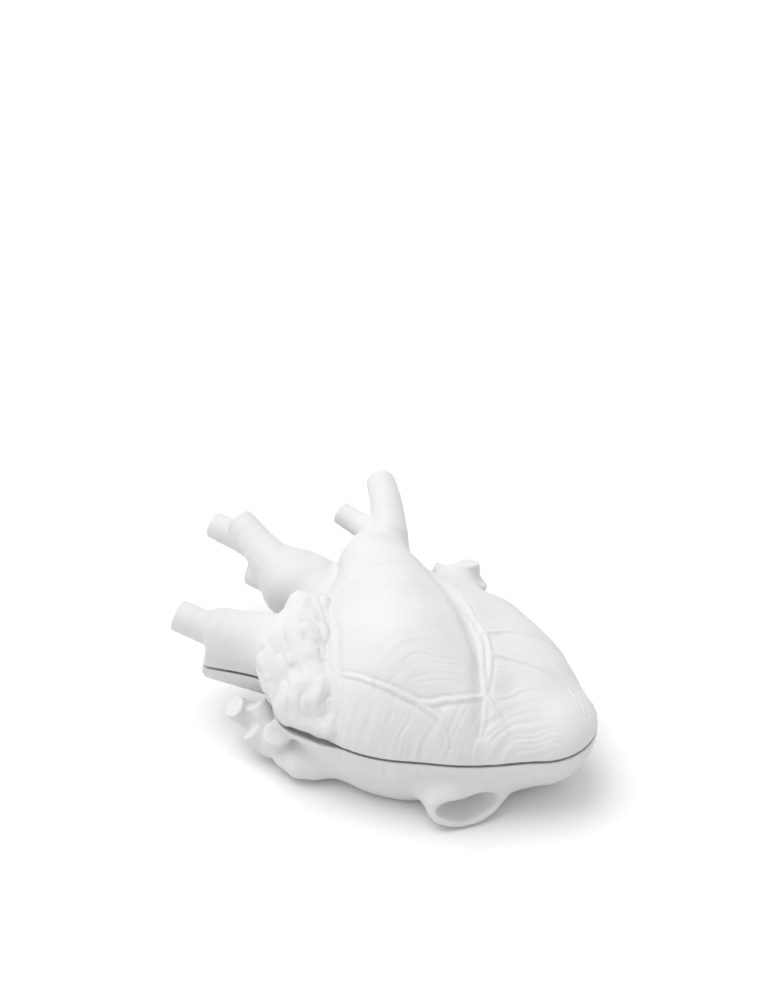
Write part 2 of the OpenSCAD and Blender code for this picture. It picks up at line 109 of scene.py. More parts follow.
def noise(x, y, z, seed):
    # smooth lattice noise between -1 and 1
    cell = [np.floor(v) for v in (x, y, z)]
    part = [v - c for v, c in zip((x, y, z), cell)]
    part = [f * f * f * (f * (f * 6 - 15) + 10) for f in part]
    cell = [c.astype(np.int64) for c in cell]
    total = 0
    for corner in range(8):
        pick = [(corner >> axis) & 1 for axis in range(3)]
        n = (cell[0] + pick[0]) * 374761393 + (cell[1] + pick[1]) * 668265263
        n = (n + (cell[2] + pick[2]) * 1442695041 + seed * 974634777) & 0xFFFFFFFF
        n = ((n ^ (n >> 13)) * 1274126177) & 0xFFFFFFFF
        n = (n ^ (n >> 16)) & 0xFFFF
        weight = 1
        for axis in range(3):
            weight = weight * (part[axis] if pick[axis] else 1 - part[axis])
        total = total + weight * (n / 32767.5 - 1)
    return total


# A block of clay is a grid of distances; a window is the part of it that a tool reaches.
def newBlock(low, high, step):
    axes = [np.arange(a, b + step, step, dtype=np.float32) for a, b in zip(low, high)]
    return dict(low=np.array(low, float), step=step, axes=axes,
                field=np.full([len(a) for a in axes], farAway, np.float32))


def window(block, low, high):
    cuts = []
    for axis, a, b in zip(block["axes"], low, high):
        cuts.append(slice(int(np.searchsorted(axis, a)), int(np.searchsorted(axis, b))))
    x, y, z = [axis[c] for axis, c in zip(block["axes"], cuts)]
    return tuple(cuts), x[:, None, None], y[None, :, None], z[None, None, :]


def wholeBlock(block):
    low = block["low"]
    high = [axis[-1] for axis in block["axes"]]
    return window(block, low - 1, np.array(high) + 1)[1:]


def ballsBox(balls, margin):
    points = np.array(balls, float)
    reach = points[:, 3:4] + margin
    return (points[:, :3] - reach).min(0), (points[:, :3] + reach).max(0)


def sample(block, points):
    # trilinear reading of the distances
    place = (points - block["low"]) / block["step"]
    top = np.array(block["field"].shape) - 2
    base = np.clip(np.floor(place).astype(int), 0, top)
    part = np.clip(place - base, 0, 1)
    out = 0
    for corner in range(8):
        pick = np.array([(corner >> axis) & 1 for axis in range(3)])
        weight = np.prod(np.where(pick, part, 1 - part), axis=1)
        i, j, k = (base + pick).T
        out = out + weight * block["field"][i, j, k]
    return out


def slopeOf(block, points, h=0.8):
    out = np.empty_like(points)
    for axis in range(3):
        step = np.zeros(3)
        step[axis] = h
        out[:, axis] = sample(block, points + step) - sample(block, points - step)
    return out / np.maximum(np.linalg.norm(out, axis=1, keepdims=True), 1e-6)


def settle(block, points, rounds=6):
    # moves points onto the skin
    points = np.array(points, float)
    for _ in range(rounds):
        points = points - sample(block, points)[:, None] * slopeOf(block, points)
    return points


def curveThrough(points, spacing):
    # smooth curve, with as many columns as the points have
    points = np.array(points, float)
    ends = [2 * points[0] - points[1]] + list(points) + [2 * points[-1] - points[-2]]
    out = []
    for p0, p1, p2, p3 in zip(ends[:-3], ends[1:-2], ends[2:-1], ends[3:]):
        count = max(1, int(np.linalg.norm((p2 - p1)[:3]) / spacing))
        for t in np.arange(count) / count:
            out.append(0.5 * (2 * p1 + (p2 - p0) * t + (2 * p0 - 5 * p1 + 4 * p2 - p3) * t * t
                              + (3 * p1 - p0 - 3 * p2 + p3) * t ** 3))
    return np.array(out + [points[-1]])


# The ventricles: lumps (x, y, radius) on the parting plane, in the order broad end, front, back, tip.
# The dome above is flattened, and the keel below deepens along x towards the tip.
ventricles = dict(lumps=((30, -6, 66), (74, -8, 39.5), (66, 6, 45.5), (102.5, 2.5, 30.5)),
                  dome=0.64, keelAlong=(30, 74, 103), keelDepth=(0.93, 1.03, 1.10),
                  blend=8, wall=5, truing=0.8)


def ventricleForm(x, y, z, inset, upper):
    stretch = ventricles["dome"]
    if not upper:
        stretch = np.interp(x, ventricles["keelAlong"], ventricles["keelDepth"]).astype(np.float32)
    level = (z - partingZ) / stretch
    broad, front, back, tip = [(a, b, 0, radius - inset) for a, b, radius in ventricles["lumps"]]
    sides = [softMin(roundCone(x, y, level, broad, middle), roundCone(x, y, level, middle, tip),
                     ventricles["blend"]) for middle in (front, back)]
    return np.minimum(*sides) * ventricles["truing"]


# Every vessel is a run of balls (x, y, z, radius); a cut one ends square.
vessels = {
    "outflow": dict(blend=10, balls=((-18, 30, 62, 20), (8, 6, 57, 31), (36, -22, 50, 37.5))),
    "rightVentricle": dict(blend=12, balls=((36, -22, 50, 37), (66, -24, 46, 28))),
    "outflowRoot": dict(blend=6, balls=((-24, 34, 60, 17), (-30, 40, 62, 13))),
    "lungArtery": dict(blend=5, cut=True, balls=((-24, 46, 62, 13), (-26, 52.5, 69, 9.8),
                                                 (-44.5, 74, 72, 8.6), (-56, 84.83, 74, 7.8))),
    "lungBranch": dict(blend=3, cut=True, balls=((-36, 52, 66, 7.5), (-49, 55, 65, 6.6),
                                                 (-61.5, 55, 67.5, 6.3))),
    "aorta": dict(blend=6, balls=((-24, 4, 43, 16), (-49, 10, 46.5, 20.5), (-56, 9.5, 48, 19.8))),
    "aortaFront": dict(blend=5, cut=True, balls=((-56, 4, 54, 14), (-78, 8, 62, 10), (-99, 13, 71, 7.8))),
    "aortaBack": dict(blend=6, cut=True, balls=((-62, 12, 50, 12), (-92, 18, 53, 8.2),
                                                (-120.5, 17, 56, 7.4))),
    "aortaLow": dict(blend=4, cut=True, balls=((-62, 10, 46, 10), (-86, 4, 46, 6))),
    "upperVein": dict(blend=6, cut=True, balls=((-20, -32, 46, 20), (-45, -39.5, 44, 17.5),
                                                (-67.2, -49.6, 45, 16.5))),
    "upperVeinLow": dict(blend=5, cut=True, balls=((-20, -38, 33, 12), (-36, -43.5, 32, 10.5),
                                                   (-66, -54.5, 34, 9))),
    "upperBranch": dict(blend=4, cut=True, balls=((-46, -44, 50, 8.5), (-62, -52, 54, 8.6),
                                                  (-83, -58, 58.7, 8.4))),
    "leftBulge": dict(blend=10, balls=((50, 34, 44, 22.5), (70, 26, 43, 21.5), (89, 16, 43, 18.5))),
    "lowerVeinRoot": dict(blend=6, balls=((66, -46, 19, 8), (84, -46, 14, 10))),
    "leftEar": dict(blend=8, balls=((20, 44, 46, 18), (9, 63, 44, 11.5))),
    "earStubA": dict(blend=2.5, cut=True, balls=((2, 69.5, 43, 5), (-6.5, 66, 46.5, 4))),
    "earStubB": dict(blend=2.5, cut=True, balls=((14, 70, 36, 7), (10.5, 74.8, 53, 6.2))),
    "earStubC": dict(blend=2.5, cut=True, balls=((17, 70, 38, 6), (20, 73.5, 45, 4.3))),
    "lungVeinRoot": dict(blend=8, balls=((26, -48, 20, 15), (12, -56, 15, 11.5))),
    "lungVeinA": dict(blend=3, cut=True, balls=((-4, -58, 12, 9), (-31, -63, 19, 7),
                                                (-37.5, -70, 27.5, 6.3))),
    "lungVeinB": dict(blend=2, cut=True, balls=((16, -58, 12, 11), (5, -68, 10, 8.5),
                                                (-9.5, -67.5, 15, 7.6), (-6.4, -72.2, 27, 6.9))),
    "lungVeinC": dict(blend=2, cut=True, balls=((6, -60, 14, 9), (-13.8, -62.8, 17.3, 6.3),
                                                (-27.4, -63.1, 29.5, 5.3))),
    "lungVeinD": dict(blend=2, cut=True, balls=((0, -60, 10, 8), (-16, -67, 10.5, 6.8),
                                                (-25, -71.5, 18.5, 5.7))),
}
baseOnly = ("lowerVeinRoot", "lungVeinRoot", "lungVeinA", "lungVeinB", "lungVeinC", "lungVeinD")
# Millimetres, apart from dishSpread, which is a share of the radius
vesselLay = dict(spacing=6, blend=0.6, reach=4, edge=0.9, dish=0.5, dishSpread=0.55)


def cutSquare(x, y, z, shape, a, b):
    # cuts the last ball of a vessel square, with a rounded edge and a slightly dished face
    run = np.array(b[:3], float) - np.array(a[:3], float)
    run = run / np.linalg.norm(run)
    x, y, z = x - b[0], y - b[1], z - b[2]
    ahead = x * run[0] + y * run[1] + z * run[2]
    across = np.maximum(x * x + y * y + z * z - ahead * ahead, 0)
    ahead = ahead + vesselLay["dish"] * np.exp(-across / (vesselLay["dishSpread"] * b[3]) ** 2)
    return softMax(shape, ahead, vesselLay["edge"])


def layVessels(block, upper):
    field = block["field"]
    for name, vessel in vessels.items():
        if upper and name in baseOnly:
            continue
        balls = curveThrough(vessel["balls"], vesselLay["spacing"])
        cuts, x, y, z = window(block, *ballsBox(balls, vessel["blend"] + vesselLay["reach"]))
        if field[cuts].size == 0:
            continue
        shape = runOfBalls(x, y, z, balls, vesselLay["blend"])
        if vessel.get("cut"):
            shape = cutSquare(x, y, z, shape, *balls[-2:])
        field[cuts] = softMin(field[cuts], shape, vessel["blend"])
    say("  vessels laid")


# Hollows pressed into the lid's skin along a path; both ends run out shallow.
grooves = {
    "septum": dict(depth=3.6, width=4.5, path=((10, 36, 75), (24, 30, 77), (40, 21, 78), (54, 10, 77),
                                               (64, 1, 75), (74, -8, 72), (82, -19, 70), (88, -27, 66),
                                               (95, -37, 55))),
    "outflowFold": dict(depth=1.2, width=1.8, path=((-10, -14, 77), (-8, -8, 80), (-6, -2, 84),
                                                    (-3, 5, 87), (3, 14, 87), (10, 21, 85))),
    "trunkFold": dict(depth=0.8, width=1.6, path=((-24, 14, 77), (-19, 19, 81), (-13, 24, 83),
                                                  (-6, 28, 83), (2, 31, 80))),
    "marginalStep": dict(depth=0.7, width=4.0, path=((33, -57, 73), (49, -55, 73), (62, -51, 69),
                                                     (72, -45, 68), (82, -34, 68))),
    "auricleBank": dict(depth=0.9, width=2.2, path=((-3, -27, 74), (7, -38, 76), (17, -50, 72),
                                                    (25, -60, 65), (29, -68, 52), (30, -72, 42))),
}


def pressGrooves(block):
    field = block["field"]
    for groove in grooves.values():
        path = settle(block, curveThrough(groove["path"], 3))
        hollow = np.zeros_like(field)
        reach = 3 * groove["width"]
        fade = np.sin(np.linspace(0.15, math.pi - 0.15, len(path))) ** 0.5
        for a, b, strength in zip(path[:-1], path[1:], fade):
            cuts, x, y, z = window(block, np.minimum(a, b) - reach, np.maximum(a, b) + reach)
            away = roundCone(x, y, z, (*a, 0), (*b, 0))
            hollow[cuts] = np.maximum(hollow[cuts], strength * np.exp(-(away / groove["width"]) ** 2))
        field += groove["depth"] * hollow
    say("  grooves pressed")


# The right auricle lies over the atrium. In the lid its edge wanders and its skin is creased, mostly
# lengthways (slant); in the base it is a plain ledge. Each crease has a size along, across and up.
auricle = dict(balls=((-22, -22, 56, 16), (-12, -42, 52, 22), (6, -56, 45, 19), (20, -62, 41, 12)),
               blend=0.9, proud=1.9, drawIn=2.2, drawInHeight=9, ledge=2.6, ledgeBlend=6,
               wander=1.2, wanderSize=9, twist=3.0, twistSize=14, slant=(0.72, 0.69),
               creases=(dict(size=(13, 7, 12), seed=61, width=0.13, fold=0.45, lump=1.5),
                        dict(size=(8, 4.5, 8), seed=62, width=0.2, fold=0.18, lump=0.45)))


def foldAuricle(block, upper):
    field = block["field"]
    cuts, x, y, z = window(block, *ballsBox(auricle["balls"], 8))
    if upper:
        x, y, z = np.broadcast_arrays(x, y, z)
        size = auricle["wanderSize"]
        wander = [auricle["wander"] * noise(x / size, y / size, z / size, seed) for seed in (41, 42, 43)]
        shape = runOfBalls(x + wander[0], y + wander[1], z + wander[2], auricle["balls"], 5)
        shape = shape - auricle["proud"]
        size = auricle["twistSize"]
        twist = [auricle["twist"] * noise(x / size, y / size, z / size, seed) for seed in (51, 52, 53)]
        twistedX, twistedY, twistedZ = x + twist[0], y + twist[1], z + twist[2]
        along = auricle["slant"][0] * twistedX - auricle["slant"][1] * twistedY
        across = auricle["slant"][1] * twistedX + auricle["slant"][0] * twistedY
        for crease in auricle["creases"]:
            a, b, c = crease["size"]
            wave = noise(along / a, across / b, twistedZ / c, crease["seed"])
            shape += crease["fold"] * np.exp(-(wave / crease["width"]) ** 2) - crease["lump"] * np.abs(wave)
        shape += auricle["drawIn"] * (1 - ramp(z - partingZ, 0, auricle["drawInHeight"]))
        field[cuts] = softMin(field[cuts], shape, auricle["blend"])
    else:
        shape = runOfBalls(x, y, z, auricle["balls"], 5) - auricle["ledge"]
        field[cuts] = softMin(field[cuts], shape, auricle["ledgeBlend"])
    say("  auricle folded")


# Muscle fibres lie in three fields: the right ventricle's bulge, the front wall and the left ventricle,
# parted by the septum and the margin (x, y). Those of the bulge and of the left curve about a centre.
# They are strongest by the septum's lower end, and fade out where something else lies on the muscle.
fibres = dict(pitch=1.3, length=30, height=0.6, coarsePitch=2.4, coarseLength=42,
              coarseHeight=(0.8, 0.48, 0.352), warp=3.0, warpSize=16, patchSize=24, baseShare=0.5,
              septum=((100, -42), (88, -26), (73, -7), (58, 10), (44, 12), (14, 31)), septumFade=(-2, 4),
              margin=((20, -50), (48, -51), (70, -46), (87, -26), (100, -20)), marginFade=(-1, 3),
              bulge=dict(centre=(80, -52), lean=0.35, turn=55),
              left=dict(centre=(150, -45), lean=0.15, turn=60),
              strongest=(76, -28), strongReach=30, weakest=0.45, tip=(84, 112),
              offMuscle=(1.5, 4.5), offAuricle=(1.5, 4), offVessels=(1, 5), offRim=(0.6, 3.5))


def curvedField(x, y, z, field):
    # the way across the fibres and the way along them
    x, y = x - field["centre"][0], y - field["centre"][1]
    return np.hypot(x, y) + field["lean"] * z, np.arctan2(y, x) * field["turn"]


def layFibres(x, y, z, upper):
    septumX, septumY = zip(*fibres["septum"])
    marginX, marginY = zip(*fibres["margin"])
    left = ramp(x - np.interp(y, septumY, septumX), *fibres["septumFade"])
    front = ramp(np.interp(x, marginX, marginY) - y, *fibres["marginFade"]) * (1 - left)
    if not upper:
        front, left = np.ones_like(x), np.zeros_like(x)
    bulge = (1 - left) * (1 - front)
    size = fibres["warpSize"]
    warp = fibres["warp"] * noise(x / size, y / size, z / size, 5)
    fields = ((bulge, *curvedField(x, y, z, fibres["bulge"])),
              (front, x + 0.12 * y, z - 0.4 * y),
              (left, *curvedField(x, y, z, fibres["left"])))
    relief = np.zeros_like(x)
    for number, (share, across, along) in enumerate(fields):
        picked = share > 0.01
        if not picked.any():
            continue
        u, v = across[picked] + warp[picked], along[picked]
        level = np.full_like(u, number * 7.3)
        fine = noise(u / fibres["pitch"], v / fibres["length"], level, 11)
        coarse = noise(u / fibres["coarsePitch"], v / fibres["coarseLength"], level, 23)
        furrow = np.clip(coarse - 0.15, 0, 1) ** 1.3
        relief[picked] += share[picked] * (fibres["height"] * fine - fibres["coarseHeight"][number] * furrow)
    size = fibres["patchSize"]
    patch = 0.5 + 0.5 * ramp(noise(x / size, y / size, z / size, 31), -0.5, 0.5)
    spotX, spotY = fibres["strongest"]
    strong = np.exp(-((x - spotX) ** 2 + (y - spotY) ** 2) / fibres["strongReach"] ** 2)
    strong = np.maximum(strong, np.maximum(0.9 * front, ramp(x, *fibres["tip"])))
    return relief * patch * (fibres["weakest"] + (1 - fibres["weakest"]) * strong)


def combFibres(block, upper):
    field = block["field"]
    i, j, k = np.nonzero(np.abs(field) < 4)
    x, y, z = [axis[n].astype(np.float64) for axis, n in zip(block["axes"], (i, j, k))]
    muscle = ventricleForm(x, y, z, 0, upper)
    for name in ("outflow", "rightVentricle"):
        muscle = np.minimum(muscle, runOfBalls(x, y, z, vessels[name]["balls"]))
    skin = 1 - ramp(muscle, *fibres["offMuscle"])
    skin *= ramp(runOfBalls(x, y, z, auricle["balls"], 5), *fibres["offAuricle"])
    for name in ("aorta", "lungArtery", "upperVein"):
        skin *= ramp(runOfBalls(x, y, z, vessels[name]["balls"]), *fibres["offVessels"])
    skin *= ramp(np.abs(z - partingZ), *fibres["offRim"]) * (1 if upper else fibres["baseShare"])
    field[i, j, k] -= (skin * layFibres(x, y, z, upper)).astype(np.float32)
    say("  fibres combed")


# Arteries raised on the lid: radii spread evenly from end to end, and a path along the skin. Each is
# sunk by a share of its radius, wobbles in width and has a shallow moat along both sides.
arteries = {
    "descending": dict(radius=(0.3, 0.7, 1.5, 1.4, 1.2, 0.3),
                       path=((43, 16, 80), (52, 13, 77), (60, 7, 75), (66, 3, 74), (74, -6, 72),
                             (81, -15, 70), (87, -23, 67), (92, -30, 62), (95, -37, 54))),
    "descendingVein": dict(radius=(0.4, 1.3, 1.2, 0.4),
                           path=((56, 15, 75), (65, 10, 73), (73, 2, 71), (82, -12, 69), (87, -22, 67))),
    "leftMain": dict(radius=(0.5, 0.8), path=((38, 26, 76), (47, 21, 76), (56, 14, 75))),
    "diagonalHigh": dict(radius=(1.0, 0.8, 0.3),
                         path=((63, 9, 73), (67, 16, 70), (71, 23, 67), (81, 32, 61), (92, 40, 52))),
    "diagonalLow": dict(radius=(1.3, 1.1, 0.3),
                        path=((74, 1, 71), (86, 9, 65), (95, 13, 62), (103, 16, 58), (111, 17, 56),
                              (117, 15, 54), (122, 14, 52), (126, 10, 50))),
    "marginal": dict(radius=(0.7, 1.45, 1.35),
                     path=((24, -57, 71), (33, -56, 73), (49, -54, 73), (62, -50, 69), (67, -48, 68),
                           (72, -44, 68), (77, -39, 69), (82, -33, 68), (87, -25, 67))),
    "marginalBranch": dict(radius=(1.3, 0.9, 0.2),
                           path=((66, -49, 67), (72, -48, 65), (76, -47, 62), (80, -48, 58),
                                 (82, -49, 55), (84, -50, 49))),
    "apexFork": dict(radius=(1.2, 0.8, 0.2),
                     path=((88, -23, 66), (92, -24, 63), (96, -25, 60), (104, -27, 52))),
}
arteryLay = dict(spacing=1.6, reach=7, sunk=0.4, blend=1.1, wobble=0.08, wobblePitch=0.45,
                 moat=0.4, moatWidth=0.9)


def raiseArteries(block):
    raised = np.full_like(block["field"], 0.5 * farAway)
    for artery in arteries.values():
        path = settle(block, curveThrough(artery["path"], arteryLay["spacing"]))
        stations = np.linspace(0, 1, len(artery["radius"]))
        radius = np.interp(np.linspace(0, 1, len(path)), stations, artery["radius"])
        wobble = arteryLay["wobble"] * np.sin(np.arange(len(path)) * arteryLay["wobblePitch"])
        path = path - slopeOf(block, path) * (arteryLay["sunk"] * radius)[:, None]
        for a, b, ra, rb in zip(path[:-1], path[1:], radius + wobble, radius[1:] + wobble[1:]):
            reach = arteryLay["reach"]
            cuts, x, y, z = window(block, np.minimum(a, b) - reach, np.maximum(a, b) + reach)
            raised[cuts] = np.minimum(raised[cuts], roundCone(x, y, z, (*a, ra), (*b, rb)))
    moat = arteryLay["moat"] * np.exp(-((raised - arteryLay["moatWidth"]) / arteryLay["moatWidth"]) ** 2)
    block["field"] = softMin(block["field"] + moat, raised, arteryLay["blend"])
    say("  arteries raised")


def sculptHeart(low, high, step, upper):
    block = newBlock(low, high, step)
    block["field"][:] = ventricleForm(*wholeBlock(block), 0, upper)
    layVessels(block, upper)
    if upper:
        pressGrooves(block)
    foldAuricle(block, upper)
    combFibres(block, upper)
    if upper:
        raiseArteries(block)
    return block


# Lower vein: an open flattened mouth on the base's front, from its root to its mouth.
lowerVein = dict(root=(72, -31, 14.5), mouth=(94.5, -47, 12.9), halfWide=21, halfHigh=11.7, lip=4.5,
                 depth=13, cutBack=0.30, blend=5, waist=3.5, highWaist=0.5, narrow=0.3,
                 sag=1.6, sagWidth=9, bow=0.8, behind=6, outerEdge=3.2, bottomEdge=3, innerEdge=1.6)


def openLowerVein(block):
    root, mouth = np.array(lowerVein["root"]), np.array(lowerVein["mouth"])
    run = mouth - root
    length = np.linalg.norm(run)
    run = run / length
    side = np.array((-run[1], run[0], 0)) / math.hypot(run[0], run[1])
    top = np.cross(run, side)
    cuts, x, y, z = window(block, root - 30, mouth + 30)
    dx, dy, dz = x - mouth[0], y - mouth[1], z - mouth[2]
    ahead = dx * run[0] + dy * run[1] + dz * run[2]
    across = dx * side[0] + dy * side[1] + dz * side[2]
    rise = dx * top[0] + dy * top[1] + dz * top[2]
    flare = ramp(ahead, -length, 2)
    wide = lowerVein["halfWide"] - lowerVein["waist"] * (1 - flare)
    high = lowerVein["halfHigh"] - lowerVein["highWaist"] * (1 - flare)
    # the upper lip sags a little towards its middle
    sag = lowerVein["sag"] * np.exp(-(across / lowerVein["sagWidth"]) ** 2) * flare
    outer = (np.sqrt((across / wide) ** 2 + ((rise + 0.4 * sag) / high) ** 2) - 1) * high * 0.85
    lean = lowerVein["cutBack"]
    cutBack = ahead * math.cos(lean) + dz * math.sin(lean) + lowerVein["bow"] * (across / wide) ** 2
    outer = softMax(outer, cutBack, lowerVein["outerEdge"])
    outer = np.maximum(outer, -ahead - length - lowerVein["behind"])
    lip = lowerVein["lip"]
    narrow = 1 - lowerVein["narrow"] * ramp(-ahead, 0, lowerVein["depth"])
    inner = (np.sqrt((across / ((wide - lip) * narrow)) ** 2
                     + ((rise + sag) / ((high - lip) * narrow)) ** 2) - 1) * (high - lip) * 0.8
    inner = softMax(inner, -ahead - lowerVein["depth"], lowerVein["bottomEdge"])
    field = softMin(block["field"][cuts], outer, lowerVein["blend"])
    block["field"][cuts] = softMax(field, -inner, lowerVein["innerEdge"])


# The joint: each rim stands back by gap and slopes inwards, which leaves a dark undercut line between
# the shells. The flange hangs from the lid, just inside the base's wall.
joint = dict(gap=0.6, edge=0.5, lidSlope=0.15, baseSlope=0.6, slopeReach=4,
             flangeDepth=3, flangeGap=1, flangeThick=3, flangeRoot=2, flangeEdge=0.8,
             ledge=3, throatHeight=4)


def shapeLid(step):
    low, high = np.array((-126, -84, partingZ - 5.5)), np.array((138, 94, 92))
    block = sculptHeart(low, high, step, True)
    x, y, z = wholeBlock(block)
    wall, ledge = ventricles["wall"], joint["ledge"]
    hollow = ventricleForm(x, y, z, wall, True)
    bulge = vessels["outflow"]["balls"] + vessels["rightVentricle"]["balls"][1:]
    inside = [(a, b, c, radius - wall - 1) for a, b, c, radius in bulge]
    hollow = softMin(hollow, runOfBalls(x, y, z, inside), 6)
    hollow = softMax(hollow, partingZ + ledge - z, 1)
    throat = ventricleForm(x, y, z, wall + joint["flangeGap"] + joint["flangeThick"], True)
    hollow = softMin(hollow, softMax(throat, z - partingZ - ledge - joint["throatHeight"], 1), 1)
    inward = np.clip(-block["field"], 0, joint["slopeReach"])
    rim = partingZ + joint["gap"] - z + joint["lidSlope"] * inward
    field = softMax(block["field"], rim, joint["edge"])
    field = softMax(field, -hollow, 1)
    flange = softMax(ventricleForm(x, y, z, wall + joint["flangeGap"], True), -throat, 0.6)
    flange = softMax(flange, partingZ - joint["flangeDepth"] - z, joint["flangeEdge"])
    flange = np.maximum(flange, z - partingZ - joint["flangeRoot"])
    block["field"] = softMin(field, flange, 0.5)
    return block


# The island carries the movement, and the key turns in a well below it. Places are from the arbor.
keyWell = dict(ends=((1, -5), (27, -5)), radius=23, wall=5, slab=4.5, arborHole=4.6, screwHole=2,
               screws=((-10, -20), (36, -22), (14, 14)), topEdge=0.8, foot=3, rimEdge=1.5, roofEdge=2,
               holeTop=3, holeEdge=0.5)


def arborSpot():
    low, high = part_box("winding_arbor")
    middle = (np.array(low) + np.array(high)) / 2 / mm - heartShift
    return middle[0], middle[1]


def stadium(x, y, ends, radius):
    return roundCone(x, y, np.zeros_like(x + y), (*ends[0], 0, radius), (*ends[1], 0, radius))


def shapeBase(step):
    low, high = np.array((-90, -84, -0.5)), np.array((138, 84, partingZ + 1.5))
    block = sculptHeart(low, high, step, False)
    openLowerVein(block)
    x, y, z = wholeBlock(block)
    hollow = ventricleForm(x, y, z, ventricles["wall"], False)
    hollow = softMax(hollow, feltTop + ventricles["wall"] - z, 4)
    inward = np.clip(-block["field"], 0, joint["slopeReach"])
    rim = z - partingZ + joint["gap"] + joint["baseSlope"] * inward
    field = softMax(block["field"], rim, joint["edge"])
    field = softMax(field, -hollow, 1)
    arbor = arborSpot()
    ends = [(arbor[0] + a, arbor[1] + b) for a, b in keyWell["ends"]]
    island = softMax(stadium(x, y, ends, keyWell["radius"] + keyWell["wall"]), z - slabTop,
                     keyWell["topEdge"])
    field = softMin(field, island, keyWell["foot"])
    field = softMax(field, feltTop - z, keyWell["rimEdge"])
    well = softMax(stadium(x, y, ends, keyWell["radius"]), z - slabTop + keyWell["slab"],
                   keyWell["roofEdge"])
    field = softMax(field, -well, 1)
    holes = [(arbor, keyWell["arborHole"])]
    holes += [((arbor[0] + a, arbor[1] + b), keyWell["screwHole"]) for a, b in keyWell["screws"]]
    for spot, radius in holes:
        bore = np.hypot(x - spot[0], y - spot[1]) - radius
        field = softMax(field, -np.maximum(bore, z - slabTop - keyWell["holeTop"]), keyWell["holeEdge"])
    block["field"] = field
    return block


def fireShell(block, name):
    # turns the clay's skin into a mesh in the frame's place and units
    grid = openvdb.FloatGrid(farAway)
    grid.copyFromArray(np.ascontiguousarray(block["field"].astype(np.float32)))
    points, quads = grid.convertToQuads(0.0)
    points = np.asarray(points, np.float64) * block["step"] + block["low"]
    # the grid's points are drawn most of the way onto the true skin
    points -= 0.9 * sample(block, points)[:, None] * slopeOf(block, points, 0.5 * block["step"])
    points = (points + heartShift) * mm
    quads = np.asarray(quads, np.int32)
    mesh = bpy.data.meshes.new(name)
    mesh.vertices.add(len(points))
    mesh.vertices.foreach_set("co", points.astype(np.float32).ravel())
    mesh.loops.add(quads.size)
    mesh.loops.foreach_set("vertex_index", quads.ravel())
    mesh.polygons.add(len(quads))
    mesh.polygons.foreach_set("loop_start", np.arange(0, quads.size, 4, dtype=np.int32))
    mesh.update(calc_edges=True)
    mesh.validate()
    corners = points[quads]
    volume = np.einsum("ij,ij->i", corners[:, 0], np.cross(corners[:, 1], corners[:, 2])).sum()
    if volume < 0:
        mesh.flip_normals()
    for polygon in mesh.polygons:
        polygon.use_smooth = True
    shell = bpy.data.objects.new(name, mesh)
    bpy.context.scene.collection.objects.link(shell)
    say("%s: %d quads" % (name, len(quads)))
    return shell


# Small tools for finishes
def newFinish(name, **sockets):
    material = bpy.data.materials.new(name)
    material.use_nodes = True
    shader = material.node_tree.nodes["Principled BSDF"]
    for socket, value in sockets.items():
        shader.inputs[socket.replace("_", " ")].default_value = value
    return material, material.node_tree, shader


def addMath(tree, operation, first, second=None):
    # second is a fixed number or another node's output
    node = tree.nodes.new("ShaderNodeMath")
    node.operation = operation
    tree.links.new(first, node.inputs[0])
    if isinstance(second, float):
        node.inputs[1].default_value = second
    elif second is not None:
        tree.links.new(second, node.inputs[1])
    return node.outputs["Value"]


def grain(tree, scale, detail=3.0, roughness=0.5, stretch=(1, 1, 1)):
    place = tree.nodes.new("ShaderNodeTexCoord")
    mapping = tree.nodes.new("ShaderNodeMapping")
    mapping.inputs["Scale"].default_value = stretch
    texture = tree.nodes.new("ShaderNodeTexNoise")
    texture.inputs["Scale"].default_value = scale
    texture.inputs["Detail"].default_value = detail
    texture.inputs["Roughness"].default_value = roughness
    tree.links.new(place.outputs["Object"], mapping.inputs["Vector"])
    tree.links.new(mapping.outputs["Vector"], texture.inputs["Vector"])
    return texture.outputs["Fac"]


def spread(tree, value, low, high, fromLow=0.3, fromHigh=0.7):
    node = tree.nodes.new("ShaderNodeMapRange")
    node.inputs["From Min"].default_value = fromLow
    node.inputs["From Max"].default_value = fromHigh
    node.inputs["To Min"].default_value = low
    node.inputs["To Max"].default_value = high
    tree.links.new(value, node.inputs["Value"])
    return node.outputs["Result"]


def colourRamp(tree, value, *stops):
    node = tree.nodes.new("ShaderNodeValToRGB")
    while len(node.color_ramp.elements) < len(stops):
        node.color_ramp.elements.new(0.5)
    for element, (place, colour) in zip(node.color_ramp.elements, stops):
        element.position = place
        element.color = (*colour, 1)
    tree.links.new(value, node.inputs["Fac"])
    return node.outputs["Color"]


def bumpFrom(tree, shader, height, distance):
    node = tree.nodes.new("ShaderNodeBump")
    node.inputs["Distance"].default_value = distance
    tree.links.new(height, node.inputs["Height"])
    tree.links.new(node.outputs["Normal"], shader.inputs["Normal"])


# Unglazed porcelain: faint clouds of two whites, painted shade in yellowish patches along the rims and a
# fine tooth
porcelainLook = dict(light=(0.675, 0.675, 0.672), dark=(0.645, 0.645, 0.640), rimShadeTint=(0.66, 0.63, 0.56),
                     cloudSize=38, rimShadePatchSize=120, rimShadeReach=0.006, rimShadeMost=0.55,
                     roughness=(0.56, 0.68), toothSize=2600, toothDepth=0.00006)


